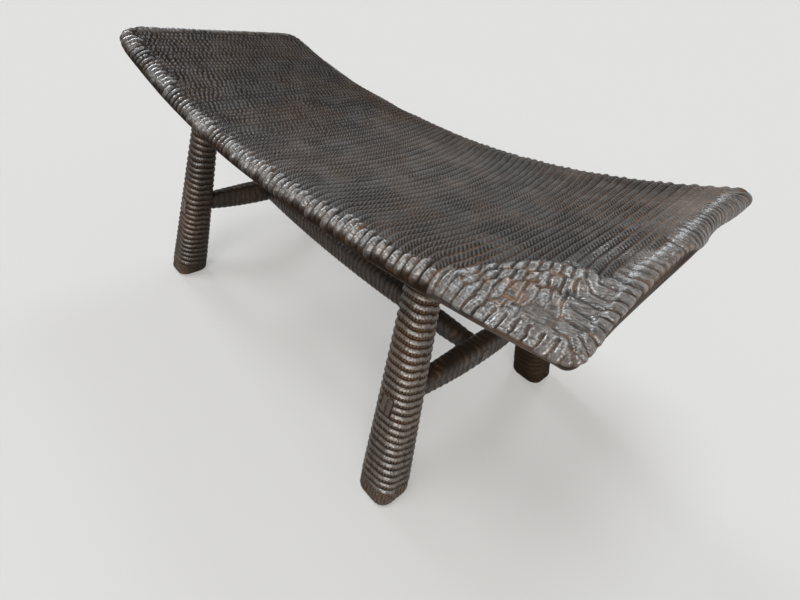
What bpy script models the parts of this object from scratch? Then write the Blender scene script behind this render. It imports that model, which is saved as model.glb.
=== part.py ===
"""Carved teak bench: a curved slab seat on four splayed legs, tied by an H of stretchers.

Frame: metres, +Z up, +X along the bench, origin on the floor under the middle of the seat.
"""

import math

import bmesh
import bpy

# Seat slab
SEAT_LENGTH = 1.200
SEAT_WIDTH = 0.468
SEAT_THICKNESS = 0.043
SEAT_HEIGHT = 0.450  # top face at the middle of the seat
SEAT_END_RISE = 0.081  # how much higher the two ends are than the middle
SEAT_CURVE_POWER = 2.15
SEAT_WIND = 0.020  # twist of the slab: rise of one corner, drop of the next
SEAT_CORNER_RADIUS = 0.032
SHOULDER_SIDE = 0.045  # how far in from the long edges the top starts to roll over
SHOULDER_END = 0.030  # the same, from the ends
UNDER_ROLL = 0.022  # how far in from every edge the underside starts to roll up
EDGE_DROP = 0.004  # the widest line lies this far below the slab's middle
SEAT_TIP = 0.0006  # cut off each end's round, which leaves a small flat on its tip

# Legs: square in section with rounded corners, splayed both ways
LEG_END_INSET = 0.259  # leg axis under the seat, in from the seat's end
LEG_SIDE_INSET = 0.089  # the same, in from the seat's long edge
LEG_SPLAY_X = 0.060  # how far the foot stands out from the leg's top, along the bench
LEG_SPLAY_Y = 0.085  # and across it
LEG_FOOT_WIDTH = 0.073
LEG_TOP_WIDTH = 0.049
LEG_CORNER_RADIUS = 0.022
FOOT_EDGE_RADIUS = 0.010

# Leg tenons, blind in the seat
LEG_TENON_WIDTH = 0.028
LEG_TENON_LENGTH = 0.026

# Stretchers: boat-shaped bars with a straight top, deeper and thicker at the middle
STRETCHER_HEIGHT = 0.192  # axis of the end stretchers' tenons above the floor
END_DEPTH = 0.040
END_MID_DEPTH = 0.053
END_THICKNESS = 0.028
END_MID_THICKNESS = 0.038
END_EDGE_RADIUS = 0.012
LONG_DEPTH = 0.036
LONG_MID_DEPTH = 0.052
LONG_THICKNESS = 0.032
LONG_MID_THICKNESS = 0.040
LONG_EDGE_RADIUS = 0.014

# Stretcher tenons, right through what they enter
END_TENON_WIDTH = 0.022
END_TENON_DEPTH = 0.032
LONG_TENON_WIDTH = 0.018
LONG_TENON_DEPTH = 0.024
TENON_PROUD = 0.001
TENON_EDGE_RADIUS = 0.002

# Wedges driven into sawn kerfs in the tenon ends
WEDGE_MOUTH = 0.0050
WEDGE_TIP = 0.0016
LEG_WEDGE_LENGTH = 0.018
STRETCHER_WEDGE_LENGTH = 0.024

# Fits and mesh steps
GAP = 0.0003  # clearance between a piece and what it seats in
CUT_MARGIN = 0.020  # how far a cutter runs past what it cuts
CORNER_STEPS = 4
NOSE_STEPS = 12
SEAT_WIDTH_STEPS = 8
SEAT_LENGTH_STEPS = 44
STATION_MERGE = 0.0012
STRETCHER_STEPS = 12
STRETCHER_SPAN = 0.92  # share of the half length that the level rings cover
FOOT_STEPS = 3
SETTLE_STEPS = 12
SMOOTH_ANGLE = math.radians(35)

TEAK_DARK = (0.070, 0.048, 0.036, 1.0)
TEAK_BROWN = (0.085, 0.052, 0.034, 1.0)
TEAK_PALE = (0.200, 0.110, 0.055, 1.0)
STAIN_ROUGHNESS = 0.42

ENDS = {"right": 1, "left": -1}
SIDES = {"front": -1, "back": 1}


# Scene and object helpers

def clear_scene():
    for old in list(bpy.data.objects):
        bpy.data.objects.remove(old)


def wood(name, colour):
    material = bpy.data.materials.new(name)
    material.use_nodes = True
    shader = material.node_tree.nodes["Principled BSDF"]
    shader.inputs["Base Color"].default_value = colour
    shader.inputs["Roughness"].default_value = STAIN_ROUGHNESS
    shader.inputs["Metallic"].default_value = 0.0
    return material


def loft(name, rings, origin, parent):
    """Closed solid through rings of equal point count, capped at both ends, placed at its own origin."""
    build = bmesh.new()
    loops = []
    for ring in rings:
        loops.append([build.verts.new([p - o for p, o in zip(point, origin)]) for point in ring])
    for lower, upper in zip(loops, loops[1:]):
        for i, vertex in enumerate(lower):
            j = (i + 1) % len(lower)
            build.faces.new((vertex, lower[j], upper[j], upper[i]))
    build.faces.new(list(reversed(loops[0])))
    build.faces.new(loops[-1])
    bmesh.ops.recalc_face_normals(build, faces=build.faces)
    mesh = bpy.data.meshes.new(name)
    build.to_mesh(mesh)
    build.free()
    piece = bpy.data.objects.new(name, mesh)
    piece.location = origin
    piece.parent = parent
    bpy.context.collection.objects.link(piece)
    return piece


def finish(piece, material):
    piece.data.materials.append(material)
    piece.data.shade_smooth()
    piece.data.set_sharp_from_angle(angle=SMOOTH_ANGLE)


def cut(piece, cutter):
    cutter.hide_render = True
    cutter.display_type = "WIRE"
    boolean = piece.modifiers.new(cutter.name, "BOOLEAN")
    boolean.operation = "DIFFERENCE"
    boolean.solver = "EXACT"
    boolean.object = cutter


def rounded_rectangle(width, depth, radius):
    """Loop of (a, b) offsets round a rectangle with rounded corners."""
    radius = min(radius, width / 2, depth / 2)
    loop = []
    for quarter, (side_a, side_b) in enumerate(((1, 1), (-1, 1), (-1, -1), (1, -1))):
        centre_a = side_a * (width / 2 - radius)
        centre_b = side_b * (depth / 2 - radius)
        for step in range(CORNER_STEPS + 1):
            angle = math.pi / 2 * (quarter + step / CORNER_STEPS)
            loop.append((centre_a + radius * math.cos(angle), centre_b + radius * math.sin(angle)))
    return loop


def mix(start, end, share):
    return start + (end - start) * share


# Seat

def seat_middle(x, y):
    """Height of the slab's middle surface: the ends rise and the corners wind out of level."""
    along = 2 * x / SEAT_LENGTH
    across = 2 * y / SEAT_WIDTH
    wind = math.copysign(along * along, along) * across
    middle = SEAT_HEIGHT - SEAT_THICKNESS / 2
    return middle + SEAT_END_RISE * abs(along) ** SEAT_CURVE_POWER + SEAT_WIND * wind


def seat_underside(x, y):
    return seat_middle(x, y) - SEAT_THICKNESS / 2


def arc_reach(radius, distance):
    """How far an arc of this radius has come out, at a distance in from the edge it starts on."""
    inner = max(0.0, radius - distance)
    return math.sqrt(radius * radius - inner * inner)


def seat_stations():
    """Distances along X: close together round the end noses and corners, even between them."""
    near_end = []
    for radius in (UNDER_ROLL, SHOULDER_END, SEAT_CORNER_RADIUS):
        for step in range(1, NOSE_STEPS + 1):
            angle = math.pi / 2 * step / NOSE_STEPS
            near_end.append(radius * (1 - math.cos(angle)) - SEAT_TIP)
    kept = [0.0]
    for distance in sorted(near_end):
        if distance - kept[-1] > STATION_MERGE:
            kept.append(distance)
    inner = SEAT_LENGTH / 2 - kept[-1]
    even = [mix(-inner, inner, step / SEAT_LENGTH_STEPS) for step in range(1, SEAT_LENGTH_STEPS)]
    low_end = [distance - SEAT_LENGTH / 2 for distance in kept]
    high_end = [-x for x in reversed(low_end)]
    return low_end + even + high_end


def seat_heights(from_end):
    """Top and bottom of the slab over its middle surface, at a distance in from its end."""
    top = mix(-EDGE_DROP, SEAT_THICKNESS / 2, arc_reach(SHOULDER_END, from_end) / SHOULDER_END)
    bottom = mix(-EDGE_DROP, -SEAT_THICKNESS / 2, arc_reach(UNDER_ROLL, from_end) / UNDER_ROLL)
    return top, bottom


def seat_nose(half_width, top, bottom):
    """Round edge of a section, from the underside out to the widest line and up to the top."""
    points = []
    for step in range(NOSE_STEPS + 1):
        angle = math.pi * (step / NOSE_STEPS - 0.5)
        roll, height = (UNDER_ROLL, bottom) if angle < 0 else (SHOULDER_SIDE, top)
        y = half_width - roll * (1 - math.cos(angle))
        points.append((y, mix(-EDGE_DROP, height, abs(math.sin(angle)))))
    return points


def seat_section(x):
    """Section of the slab at x: round front and back noses joined by the top and bottom faces."""
    from_end = SEAT_LENGTH / 2 - abs(x) + SEAT_TIP
    top, bottom = seat_heights(from_end)
    half_width = SEAT_WIDTH / 2 - SEAT_CORNER_RADIUS + arc_reach(SEAT_CORNER_RADIUS, from_end)
    back = seat_nose(half_width, top, bottom)
    front = [(-y, height) for y, height in reversed(back)]
    shares = [step / SEAT_WIDTH_STEPS for step in range(1, SEAT_WIDTH_STEPS)]
    over = [(mix(back[-1][0], front[0][0], share), top) for share in shares]
    under = [(mix(front[-1][0], back[0][0], share), bottom) for share in shares]
    return [(x, y, seat_middle(x, y) + height) for y, height in back + over + front + under]


def make_seat(parent):
    origin = (0.0, 0.0, SEAT_HEIGHT)
    return loft("seat_slab", [seat_section(x) for x in seat_stations()], origin, parent)


# Legs

def leg_top():
    """Distances of the leg's axis from the middle of the bench, where it meets the seat."""
    return SEAT_LENGTH / 2 - LEG_END_INSET, SEAT_WIDTH / 2 - LEG_SIDE_INSET


def leg_foot():
    """The same, on the floor."""
    along, across = leg_top()
    return along + LEG_SPLAY_X, across + LEG_SPLAY_Y


def leg_height():
    """Nominal height of a leg, up to the underside of a level, untwisted seat."""
    rise = SEAT_END_RISE * (2 * leg_top()[0] / SEAT_LENGTH) ** SEAT_CURVE_POWER
    return SEAT_HEIGHT - SEAT_THICKNESS + rise


def leg_axis(z):
    """Distances of the leg's axis from the middle of the bench, at height z."""
    share = z / leg_height()
    return tuple(mix(foot, top, share) for foot, top in zip(leg_foot(), leg_top()))


def leg_width(z):
    return mix(LEG_FOOT_WIDTH, LEG_TOP_WIDTH, z / leg_height())


def leg_inner_y(z):
    return leg_axis(z)[1] - leg_width(z) / 2


def leg_outer_y(z):
    return leg_axis(z)[1] + leg_width(z) / 2


def on_leg(end, side, offset, z):
    along, across = leg_axis(z)
    return end * along + offset[0], side * across + offset[1], z


def level_ring(end, side, inset, z):
    width = leg_width(z) - 2 * inset
    radius = LEG_CORNER_RADIUS - inset
    return [on_leg(end, side, offset, z) for offset in rounded_rectangle(width, width, radius)]


def settled_point(end, side, offset_at, surface):
    """Point of the leg's section that lies on a surface given as a height over x and y."""
    z = leg_height()
    for _ in range(SETTLE_STEPS):
        x, y, _ = on_leg(end, side, offset_at(z), z)
        z = surface(x, y)
    return x, y, z


def shaft_offset(index):
    def offset_at(z):
        return rounded_rectangle(leg_width(z), leg_width(z), LEG_CORNER_RADIUS)[index]

    return offset_at


def tenon_ring(end, side, clearance, surface):
    width = LEG_TENON_WIDTH + 2 * clearance
    loop = rounded_rectangle(width, width, TENON_EDGE_RADIUS + clearance)
    return [settled_point(end, side, lambda z, fixed=offset: fixed, surface) for offset in loop]


def shoulder(x, y):
    return seat_underside(x, y) - GAP


def tenon_top(x, y):
    return seat_underside(x, y) + LEG_TENON_LENGTH


def foot_rings(end, side):
    """Flat foot with a rounded lower edge."""
    rings = []
    for step in range(FOOT_STEPS + 1):
        angle = math.pi / 2 * step / FOOT_STEPS
        height = FOOT_EDGE_RADIUS * (1 - math.cos(angle))
        inset = FOOT_EDGE_RADIUS * (1 - math.sin(angle))
        rings.append(level_ring(end, side, inset, height))
    return rings


def make_leg(name, end, side, parent):
    points = 4 * (CORNER_STEPS + 1)
    top = [settled_point(end, side, shaft_offset(i), shoulder) for i in range(points)]
    rings = foot_rings(end, side) + [top]
    rings.append(tenon_ring(end, side, 0.0, shoulder))
    rings.append(tenon_ring(end, side, 0.0, tenon_top))
    return loft(name, rings, on_leg(end, side, (0.0, 0.0), 0.0), parent)


def seat_mortise(name, end, side, parent):
    below = tenon_ring(end, side, GAP, lambda x, y: seat_underside(x, y) - CUT_MARGIN)
    above = tenon_ring(end, side, GAP, lambda x, y: tenon_top(x, y) + GAP)
    return loft(name, [below, above], on_leg(end, side, (0.0, 0.0), leg_height()), parent)


# End stretchers

def end_stretcher_x():
    return leg_axis(STRETCHER_HEIGHT)[0]


def belly(share):
    """From 0 at a stretcher's ends to 1 at its middle."""
    return 1 - share * share


def end_tenon_loop(clearance):
    width = END_TENON_WIDTH + 2 * clearance
    depth = END_TENON_DEPTH + 2 * clearance
    return rounded_rectangle(width, depth, TENON_EDGE_RADIUS + clearance)


def end_ring(end, loop, y_at, drop=0.0):
    """Ring of an end stretcher whose points take their Y from their height, as the leg's face does."""
    ring = []
    for a, b in loop:
        z = STRETCHER_HEIGHT - drop + b
        ring.append((end * end_stretcher_x() + a, y_at(z), z))
    return ring


def end_shoulder(z):
    return leg_inner_y(z) - GAP


def end_tenon_tip(z):
    return leg_outer_y(z) + TENON_PROUD


def make_end_stretcher(name, end, parent):
    body = rounded_rectangle(END_THICKNESS, END_DEPTH, END_EDGE_RADIUS)
    tenon = end_tenon_loop(0.0)
    closing = [(tenon, end_tenon_tip), (tenon, end_shoulder), (body, end_shoulder)]
    rings = []
    for loop, reach in closing:
        rings.append(end_ring(end, loop, lambda z, far=reach: -far(z)))
    half = STRETCHER_SPAN * end_shoulder(STRETCHER_HEIGHT)
    for step in range(STRETCHER_STEPS + 1):
        share = mix(-1, 1, step / STRETCHER_STEPS)
        swell = belly(share * STRETCHER_SPAN)
        width = mix(END_THICKNESS, END_MID_THICKNESS, swell)
        depth = mix(END_DEPTH, END_MID_DEPTH, swell)
        loop = rounded_rectangle(width, depth, END_EDGE_RADIUS)
        rings.append(end_ring(end, loop, lambda z, y=share * half: y, (depth - END_DEPTH) / 2))
    for loop, reach in reversed(closing):
        rings.append(end_ring(end, loop, reach))
    return loft(name, rings, (end * end_stretcher_x(), 0.0, STRETCHER_HEIGHT), parent)


def leg_mortise(name, end, side, parent):
    loop = end_tenon_loop(GAP)
    inside = side * (leg_inner_y(STRETCHER_HEIGHT) - CUT_MARGIN)
    outside = side * (leg_outer_y(STRETCHER_HEIGHT) + CUT_MARGIN)
    rings = [end_ring(end, loop, lambda z, y=reach: y) for reach in (inside, outside)]
    return loft(name, rings, (end * end_stretcher_x(), inside, STRETCHER_HEIGHT), parent)


# Long stretcher

def end_face_half(b):
    """Half thickness of an end stretcher's middle section, at a height b above its axis."""
    half = END_MID_THICKNESS / 2
    radius = min(END_EDGE_RADIUS, half, END_MID_DEPTH / 2)
    past_flat = abs(b) - (END_MID_DEPTH / 2 - radius)
    if past_flat <= 0:
        return half
    return half - radius + math.sqrt(max(0.0, radius * radius - past_flat * past_flat))


def long_height():
    """Axis of the long stretcher's tenons: the middle of the end stretchers' deepest section."""
    return STRETCHER_HEIGHT - (END_MID_DEPTH - END_DEPTH) / 2


def long_ring(loop, x_at, drop=0.0):
    return [(x_at(b), a, long_height() - drop + b) for a, b in loop]


def long_shoulder(b):
    return end_stretcher_x() - end_face_half(b) - GAP


def long_tenon_tip(b):
    return end_stretcher_x() + END_MID_THICKNESS / 2 + TENON_PROUD


def long_tenon_loop(clearance):
    width = LONG_TENON_WIDTH + 2 * clearance
    depth = LONG_TENON_DEPTH + 2 * clearance
    return rounded_rectangle(width, depth, TENON_EDGE_RADIUS + clearance)


def make_long_stretcher(parent):
    body = rounded_rectangle(LONG_THICKNESS, LONG_DEPTH, LONG_EDGE_RADIUS)
    tenon = long_tenon_loop(0.0)
    closing = [(tenon, long_tenon_tip), (tenon, long_shoulder), (body, long_shoulder)]
    rings = []
    for loop, reach in closing:
        rings.append(long_ring(loop, lambda b, far=reach: -far(b)))
    half = STRETCHER_SPAN * long_shoulder(0.0)
    for step in range(STRETCHER_STEPS + 1):
        share = mix(-1, 1, step / STRETCHER_STEPS)
        swell = belly(share * STRETCHER_SPAN)
        width = mix(LONG_THICKNESS, LONG_MID_THICKNESS, swell)
        depth = mix(LONG_DEPTH, LONG_MID_DEPTH, swell)
        loop = rounded_rectangle(width, depth, LONG_EDGE_RADIUS)
        rings.append(long_ring(loop, lambda b, x=share * half: x, (depth - LONG_DEPTH) / 2))
    for loop, reach in reversed(closing):
        rings.append(long_ring(loop, reach))
    return loft("long_stretcher", rings, (0.0, 0.0, long_height()), parent)


def end_stretcher_mortise(name, end, parent):
    loop = long_tenon_loop(GAP)
    middle = end * end_stretcher_x()
    rings = [long_ring(loop, lambda b, x=middle + reach: x) for reach in (-CUT_MARGIN * 2, CUT_MARGIN * 2)]
    return loft(name, rings, (middle, 0.0, long_height()), parent)


# Wedges and the kerfs they are driven into

def wedge_thickness(depth, length):
    return mix(WEDGE_MOUTH, WEDGE_TIP, depth / length)


def wedge_rings(place, breadth, length, clearance, past_mouth):
    """Rings of a wedge at its mouth and tip. place maps depth, thickness and breadth to a point."""
    rings = []
    for depth in (-past_mouth, length + clearance):
        half = wedge_thickness(depth, length) / 2 + clearance
        corners = ((half, breadth / 2), (-half, breadth / 2), (-half, -breadth / 2), (half, -breadth / 2))
        rings.append([place(depth, a, b) for a, b in corners])
    return rings


def add_wedge(name, carrier, place, breadth, length, parent):
    """A wedge flush with its tenon's end, and its kerf, sawn right across the tenon."""
    origin = place(0.0, 0.0, 0.0)
    wedge = loft(name, wedge_rings(place, breadth, length, 0.0, 0.0), origin, parent)
    kerf = wedge_rings(place, breadth + CUT_MARGIN, length, GAP, CUT_MARGIN / 4)
    cut(carrier, loft("kerf_" + name, kerf, origin, parent))
    return wedge


def in_leg_tenon(end, side):
    def place(depth, a, b):
        return settled_point(end, side, lambda z: (a, b), lambda x, y: tenon_top(x, y) - depth)

    return place


def in_end_tenon(end, side):
    def place(depth, a, b):
        z = STRETCHER_HEIGHT + b
        return end * end_stretcher_x() + a, side * (end_tenon_tip(z) - depth), z

    return place


def in_long_tenon(end):
    def place(depth, a, b):
        return end * (long_tenon_tip(b) - depth), a, long_height() + b

    return place


# Assembly

def make_bench():
    clear_scene()
    bench = bpy.data.objects.new("bench", None)
    bpy.context.collection.objects.link(bench)
    seat = make_seat(bench)
    long_stretcher = make_long_stretcher(bench)
    finish(seat, wood("seat_teak", TEAK_DARK))
    finish(long_stretcher, wood("long_stretcher_teak", TEAK_BROWN))
    for end_name, end in ENDS.items():
        stretcher = make_end_stretcher("end_stretcher_" + end_name, end, bench)
        finish(stretcher, wood("end_stretcher_teak_" + end_name, TEAK_BROWN))
        cut(stretcher, end_stretcher_mortise("mortise_end_stretcher_" + end_name, end, bench))
        place = in_long_tenon(end)
        wedge = add_wedge("long_tenon_wedge_" + end_name, long_stretcher, place,
                          LONG_TENON_DEPTH, STRETCHER_WEDGE_LENGTH, bench)
        finish(wedge, wood("long_tenon_wedge_teak_" + end_name, TEAK_PALE))
        for side_name, side in SIDES.items():
            corner = side_name + "_" + end_name
            leg = make_leg("leg_" + corner, end, side, bench)
            finish(leg, wood("leg_teak_" + corner, TEAK_BROWN))
            cut(leg, leg_mortise("mortise_leg_" + corner, end, side, bench))
            cut(seat, seat_mortise("mortise_seat_" + corner, end, side, bench))
            wedge = add_wedge("leg_tenon_wedge_" + corner, leg, in_leg_tenon(end, side),
                              LEG_TENON_WIDTH, LEG_WEDGE_LENGTH, bench)
            finish(wedge, wood("leg_tenon_wedge_teak_" + corner, TEAK_PALE))
            wedge = add_wedge("end_tenon_wedge_" + corner, stretcher, in_end_tenon(end, side),
                              END_TENON_DEPTH, STRETCHER_WEDGE_LENGTH, bench)
            finish(wedge, wood("end_tenon_wedge_teak_" + corner, TEAK_PALE))


make_bench()
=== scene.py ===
"""Looks of the carved teak bench: gouged meshes over the solids, stained teak, pale studio and camera."""

import math
from collections import namedtuple
from types import SimpleNamespace

import bpy
import numpy as np
from mathutils import Matrix, Vector


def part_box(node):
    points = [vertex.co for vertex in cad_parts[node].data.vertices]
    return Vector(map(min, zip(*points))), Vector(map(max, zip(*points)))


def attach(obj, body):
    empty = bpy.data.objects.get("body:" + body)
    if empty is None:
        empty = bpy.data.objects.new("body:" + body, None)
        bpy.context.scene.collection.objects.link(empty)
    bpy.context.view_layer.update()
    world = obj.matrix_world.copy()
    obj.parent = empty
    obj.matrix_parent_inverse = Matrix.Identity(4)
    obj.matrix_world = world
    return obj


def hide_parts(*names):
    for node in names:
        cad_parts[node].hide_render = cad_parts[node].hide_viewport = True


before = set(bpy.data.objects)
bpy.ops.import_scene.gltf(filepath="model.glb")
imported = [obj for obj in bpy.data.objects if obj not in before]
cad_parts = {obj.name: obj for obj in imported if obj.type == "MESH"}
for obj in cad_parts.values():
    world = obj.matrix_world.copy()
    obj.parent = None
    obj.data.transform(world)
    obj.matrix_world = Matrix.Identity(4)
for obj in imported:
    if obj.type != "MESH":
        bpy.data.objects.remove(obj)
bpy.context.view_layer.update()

# Sizes of the solids, in metres
seat_low, seat_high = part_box("seat_slab")
SEAT_LENGTH = seat_high.x - seat_low.x
SEAT_WIDTH = seat_high.y - seat_low.y
SEAT_THICKNESS = 0.043
HALF_LENGTH = SEAT_LENGTH / 2
HALF_WIDTH = SEAT_WIDTH / 2
HALF_THICK = SEAT_THICKNESS / 2
SEAT_HEIGHT = 0.450
SEAT_END_RISE = 0.081
SEAT_CURVE_POWER = 2.15
LEG_TOP = (0.341, 0.145)
LEG_FOOT = (0.401, 0.230)
LEG_HEIGHT = SEAT_HEIGHT - SEAT_THICKNESS + SEAT_END_RISE * (LEG_TOP[0] / HALF_LENGTH) ** SEAT_CURVE_POWER
LEG_FOOT_WIDTH = 0.073
LEG_TOP_WIDTH = 0.049
LEG_CORNER_RADIUS = 0.022
FOOT_EDGE_RADIUS = 0.010
RAIL_HEIGHT = 0.192
END_RAIL = SimpleNamespace(depth=0.040, mid_depth=0.053, thickness=0.028, mid_thickness=0.038,
                           edge_radius=0.012, tenon_width=0.022, tenon_depth=0.032)
LONG_RAIL = SimpleNamespace(depth=0.036, mid_depth=0.052, thickness=0.032, mid_thickness=0.040,
                            edge_radius=0.014, tenon_width=0.018, tenon_depth=0.024)
TENON_PROUD = 0.001
TENON_EDGE_RADIUS = 0.002
TENON_BEVEL = 0.0007
SEATED = 0.0015  # how far a carved leg runs into the seat
END_SHOULDER_SEATED = 0.006  # and a stretcher into what it meets
LONG_SHOULDER_SEATED = 0.003

ENDS = {"right": 1, "left": -1}
SIDES = {"front": -1, "back": 1}

# Form of the seat's edge, in metres: the top rolls over to its widest line, the underside rolls up to it
SEAT_WIND_NEAR = 0.027  # the two ends of the real slab wind by different amounts
SEAT_WIND_FAR = 0.013
SHOULDER_SIDE = 0.045
SHOULDER_END = 0.030
EDGE_LEVEL = -0.004  # height of the widest line, from the slab's middle
UNDER_REACH = 0.022
UNDER_STEP = 0.004
INNER_X = HALF_LENGTH - SHOULDER_END
INNER_Y = HALF_WIDTH - SHOULDER_SIDE
TOP_CORNER_RADIUS = 0.012
CORNER_RADII = {(1, -1): 0.012, (1, 1): 0.024, (-1, -1): 0.066, (-1, 1): 0.050}
CORNER_FAN = 0.10
NOSE_ANGLES = [*range(84, -1, -6), *(-k * (k + 9) for k in range(1, 7))]  # degrees, closest above
END_HOLLOW = 0.007
END_HOLLOW_Y = (0.115, 0.045)  # middle and spread
TIP_REACH = 0.004  # how far the near front corner stands out past the end
TIP_Y = (-0.12, -0.24)
END_SHAPED = 0.06  # length of the near end that the hollow and the tip change
CORNER_DROP = 0.017
CORNER_DROP_REACH = 0.12
CORNER_DROP_POWER = 1.15
CORNER_DROP_MOST = 1.2  # in reaches
CORNER_EDGE_DROP = 0.05  # share of that drop at the widest line
CORNER_SHOULDER = 0.016
CORNER_X = (0.38, 0.47)  # where the edge changes to the corner's, along the front
CORNER_Y = (-0.06, -0.15)  # and along the end
FAR_BACK_FULL = 0.020  # how much fuller the edge is at the far back corner
FAR_BACK_X = (-0.30, -INNER_X)

# Carving of the seat, in metres and counts
ROW_COUNT = 80
ROW_COLUMNS = 6
FINE_ROWS = 12  # rows at the near end whose grid is finer
FINE_COLUMNS = 12
SEAT_LINES = 320
UNDER_LINES = 4  # each fourth line runs on under the seat
ROW_DEPTH = 0.0014
ROW_WAVE = 0.0013
ROW_BOW = 0.045
ROW_BOW_X = (0.20, 0.25)  # middle and spread
FAR_X = (0.20, -0.35)  # where the rows turn finer and duller towards the far end, and are painted darker there as painted shade
BEAD_PITCH = (0.0100, 0.0056)  # at the far end and at the near end
BEAD_DEPTH = 0.0019
BEAD_SLANT = 1.6
WORN_X = (0.49, 0.57)  # where the rows are rubbed away at the near back corner
WORN_Y = (-0.03, 0.10)
GLOSSY_SPOT = ((0.530, -0.045), (0.028, 0.045))  # the spots' middles and sizes
END_SPOT = ((0.575, -0.045), (0.016, 0.020))
PLAIN_SPOT = ((0.540, -0.200), (0.024, 0.018))
BACK_POLISH = 0.35  # share of the polish that is left at the back edge
BACK_Y = (0.10, INNER_Y)
COIL_DEPTH = 0.0050
COIL_STRETCH = 11.8  # rows from one bold stretch of coils to the next
COIL_STRETCH_START = 0.77
END_GOUGE_AT = (-0.20, 0.0, 0.20)
END_GOUGE_PITCH = (0.0165, 0.0115, 0.0075)  # along the near end, at those places across it
FAR_GOUGE_PITCH = 0.0125
END_GOUGE_DEPTH = 0.0040
END_SLANT = 0.30  # how far the near end's gouges lean to the front
END_BAND = (0.036, 0.050)  # width of the ends' gouges, and at the front
PATCH_DEPTH = 0.0048
PATCH_TIERS = (0.0, 0.022, 0.046, 0.080, 0.130)  # depths inside the patch where its blades end
PATCH_SLANT = 20.0  # rows the blades cross in a metre
PATCH_MIDDLE = 0.520
PATCH_TOP = -0.107
PATCH_FALL_FRONT = 12.7
PATCH_FALL_END = 6.7
BLADE_CELLS = 64  # different leans of the flat chisel marks, each way
FINGER_REACH = 0.019  # plan length of the near corner's fingers
FINGERS_FROM = (0.412, 0.430)
FINGER_PITCH = 0.0147
FINGER_END = 0.0016  # how much the fingers thicken at their ends
RIM_BLEND = math.radians(8)
ADZE_DEPTH = 0.0012
ADZE_ROWS = 70  # rows in a metre, under the seat

# Carving of the legs and stretchers
RING_PITCH = 0.0133
RING_DEPTH = 0.0038
RING_RISE = 0.30  # share of each ring's pitch in which it rises
RING_STEPS = 10
RING_TILT = {(1, -1): 0.28}  # in pitches, on the near front leg
LEG_PAINTED_SHADE = {(1, -1): 1.0, (-1, -1): 0.80}  # painted shade: the other legs are painted darker and show less bare wood, the back ones under the seat darkest
BACK_LEG_PAINTED_SHADE = 0.28
LEG_BARE = {(1, -1): 1.0}  # share of bare wood at the worn edges
OTHER_LEG_BARE = 0.5
LIT_CORNER = 0.90  # turn of the corner that is painted brightest, a painted highlight where the light falls
LEG_AROUND = 96
CHISEL_PITCH = 0.0034
CHISEL_DEPTH = 0.0005
FLUTE_TOP = 0.030
FLUTE_STEPS = 10
FLUTE_PITCH = 0.0075
FLUTE_DEPTH = 0.0016
SOLE_EDGE = 0.006  # height in which the carving begins above the floor
FOOT_EDGE_STEP = 15  # degrees
RIDGE_PITCH = 0.0145
RIDGE_DEPTH = 0.0012
RIDGE_STEPS = 8
RAIL_AROUND = 56
RAIL_SHARP = math.radians(70)
TENON_STEPS = 8
TENON_RUN = 0.001  # length that the tool marks of a tenon take up
TOP_TURN = 0.25  # turn of a stretcher's top side
ACROSS_BENCH = np.array([(0, 1, 0), (1, 0, 0), (0, 0, 1)])  # where its length, width and height point
ALONG_BENCH = np.array([(1, 0, 0), (0, -1, 0), (0, 0, 1)])

# Stained woods; their chips and cuts follow the tool's own directions, the cuts in radians a unit
RING_CHIPS = (300.0, 1.3, 0.0)
RING_CUTS = (2 * math.pi / 0.0060, 0.0, 0.0)
SEAT_TEAK = SimpleNamespace(
    dark=(0.017, 0.0145, 0.013), brown=(0.039, 0.024, 0.015), pale=(0.067, 0.056, 0.049),
    painted_sheen=(0.295, 0.266, 0.249), grain=(7.0, 130.0, 130.0), chips=(0.9, 330.0, 40.0),
    furrows=0.85, cuts=(2 * math.pi * 2.4, 2 * math.pi / 0.0062, 0.0))
LEG_TEAK = SimpleNamespace(
    dark=(0.024, 0.016, 0.010), brown=(0.088, 0.049, 0.025), pale=(0.140, 0.094, 0.062),
    painted_sheen=(0.300, 0.270, 0.245), grain=(130.0, 130.0, 7.0), chips=RING_CHIPS, furrows=0.95, cuts=RING_CUTS)
# the stretchers are stained darker than the legs, and painted darker still as painted shade under the seat
SHADED_RAIL_TEAK = SimpleNamespace(
    dark=(0.013, 0.009, 0.0065), brown=(0.028, 0.017, 0.010), pale=(0.038, 0.026, 0.018),
    painted_sheen=(0.060, 0.050, 0.042), grain=(60.0, 60.0, 130.0), chips=RING_CHIPS, furrows=0.30, cuts=RING_CUTS)
# near-black of the furrows: part dark stain, part painted shade
FURROW_STAIN_AND_SHADE = (0.015, 0.009, 0.006)
WORN = (0.085, 0.040, 0.021)
WORN_PALE = (0.270, 0.135, 0.062)
WEDGE_DARK = (0.050, 0.032, 0.022)
WEDGE_BROWN = (0.085, 0.062, 0.045)
WEDGE_PALE = (0.170, 0.130, 0.095)
CUT_SHADE = 0.95  # how dark the slanting cuts are
GRAIN_ROUGHNESS = 0.55

# Floor and light
BACKGROUND = (0.752, 0.752, 0.738)
FLOOR_COLOUR = (0.611, 0.584, 0.561)
FLOOR_BOUNCE = (0.20, 0.20, 0.20)
FLOOR_REACH = 300.0
GLOW_SHARE = 0.35
HORIZON_BAND = (0.42, 0.72)  # how far up the pale horizon fades out
WORLD_LEVEL = 0.15
AMBIENT_SHARE = 0.6  # of the pale surroundings, as light on the bench
SUNS = {  # level, width in degrees, direction it comes from, colour
    "far_end_softbox": (1.3, 16, (-0.85, 0.05, 0.38), (0.89, 0.95, 1.0)),
    "ceiling": (0.30, 90, (0.35, -0.05, 1.0), (1.0, 1.0, 1.0)),
    "back_softbox": (0.7, 18, (-0.28, 0.62, 0.73), (0.84, 0.93, 1.0)),
    "key_softbox": (1.4, 26, (-0.20, -0.22, 0.95), (0.87, 0.95, 1.0)),
    "camera_side_fill": (1.9, 34, (0.58, -0.66, 0.50), (1.0, 0.98, 0.95)),
}

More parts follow.
